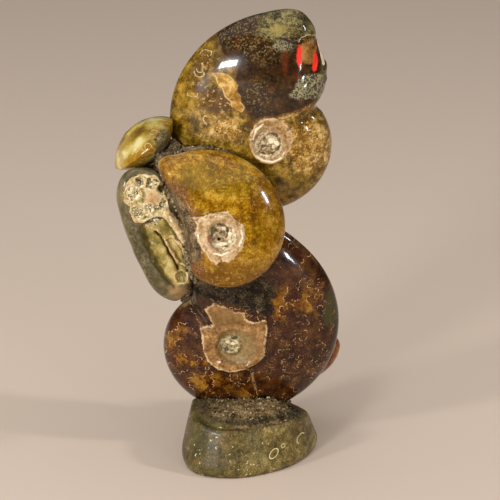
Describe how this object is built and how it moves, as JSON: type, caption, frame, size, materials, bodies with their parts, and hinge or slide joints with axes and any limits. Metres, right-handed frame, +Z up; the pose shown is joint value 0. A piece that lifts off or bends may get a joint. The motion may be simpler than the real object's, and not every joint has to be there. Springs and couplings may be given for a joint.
{
  "type": "polished ammonite cluster",
  "caption": "An upright cluster of coiled fossil ammonite shells cemented in olive sandstone, ground and polished, standing on a small flat-cut stone foot.",
  "frame": {"origin": "on the flat cut of the stone foot, near its middle", "axes": "+Z up out of the flat cut, -Y towards the side where the open umbilici show, +X to the right of it"},
  "size_m": [0.0532, 0.036, 0.106],
  "materials": {
    "olive_sandstone": "gritty sandstone, ground smooth on the foot",
    "brown_calcite_shell": "polished",
    "honey_calcite_shell": "polished",
    "olive_calcite_shell": "polished",
    "grey_calcite_shell": "polished, crystals in the open chambers",
    "green_calcite_shell": "polished",
    "orange_calcite_shell": "polished"
  },
  "bodies": {
    "root": {"matrix_stone": "olive_sandstone", "lower_ammonite": "brown_calcite_shell", "middle_ammonite": "honey_calcite_shell", "upper_ammonite": "olive_calcite_shell", "side_ammonite": "grey_calcite_shell", "small_ammonite": "green_calcite_shell", "rear_ammonite": "orange_calcite_shell"}
  },
  "joints": []
}
